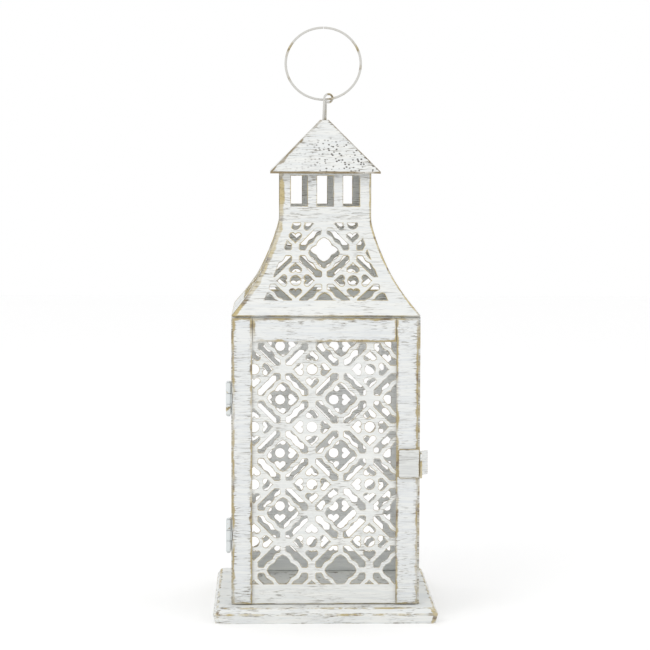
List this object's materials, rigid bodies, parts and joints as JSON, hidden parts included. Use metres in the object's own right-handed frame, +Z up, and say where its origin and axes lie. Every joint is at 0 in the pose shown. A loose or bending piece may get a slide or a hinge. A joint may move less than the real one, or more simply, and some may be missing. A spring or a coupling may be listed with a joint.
{
  "type": "candle lantern",
  "caption": "Square sheet-metal candle lantern with stamped lattice sides, a hinged latching door, a flared vented roof, a pyramid cap and a hanging ring.",
  "frame": {"origin": "middle of the base, on the surface the lantern stands on", "axes": "+Z up to the hanging ring, -Y out of the door, +X towards the door's latch"},
  "size_m": [0.143, 0.143, 0.3796],
  "materials": {
    "whitewash": "distressed matte whitewash over gold paint",
    "whitewash_inner": "matte whitewash in shade, unworn",
    "worn_gold": "worn gold paint with whitewash left in its hollows"
  },
  "bodies": {
    "lantern": {"base_tray": "whitewash", "floor_sill": "whitewash_inner", "post_front_left": "whitewash", "post_front_right": "whitewash", "post_rear_left": "whitewash", "post_rear_right": "whitewash", "front_header": "whitewash_inner", "left_lattice": "whitewash", "right_lattice": "whitewash", "rear_lattice": "whitewash", "left_top_rail": "whitewash", "right_top_rail": "whitewash", "rear_top_rail": "whitewash", "roof_front": "whitewash", "roof_right": "whitewash", "roof_rear": "whitewash", "roof_left": "whitewash", "cap": "whitewash", "catch_stud": "worn_gold", "upper_hinge_body_leaf": "worn_gold", "upper_hinge_pin": "worn_gold", "lower_hinge_body_leaf": "worn_gold", "lower_hinge_pin": "worn_gold"},
    "door": {"door_lattice": "whitewash", "door_left_stile": "whitewash", "door_right_stile": "whitewash", "door_top_rail": "whitewash", "upper_hinge_door_leaf": "worn_gold", "lower_hinge_door_leaf": "worn_gold", "latch_plate": "whitewash"},
    "latch": {"latch_tab": "whitewash"},
    "eye": {"hanger_eye": "worn_gold"},
    "ring": {"hanger_ring": "worn_gold"}
  },
  "joints": [
    {"name": "door_swing", "type": "hinge", "parent": "lantern", "child": "door", "pos_m": [-0.0618, -0.0583, 0.0985], "axis": [0, 0, -1], "range_deg": [0, 180]},
    {"name": "latch_flex", "type": "hinge", "parent": "door", "child": "latch", "pos_m": [0.06, -0.0608, 0.0993], "axis": [0, 0, -1], "range_deg": [0, 14], "stiffness_Nm_per_rad": 0.05},
    {"name": "eye_swivel", "type": "hinge", "parent": "lantern", "child": "eye", "pos_m": [0, 0, 0.319], "axis": [0, 0, 1], "continuous": true},
    {"name": "ring_swing", "type": "hinge", "parent": "eye", "child": "ring", "pos_m": [0.0026, 0.00205, 0.3322], "axis": [1, 0, 0], "range_deg": [-140, 140]}
  ]
}
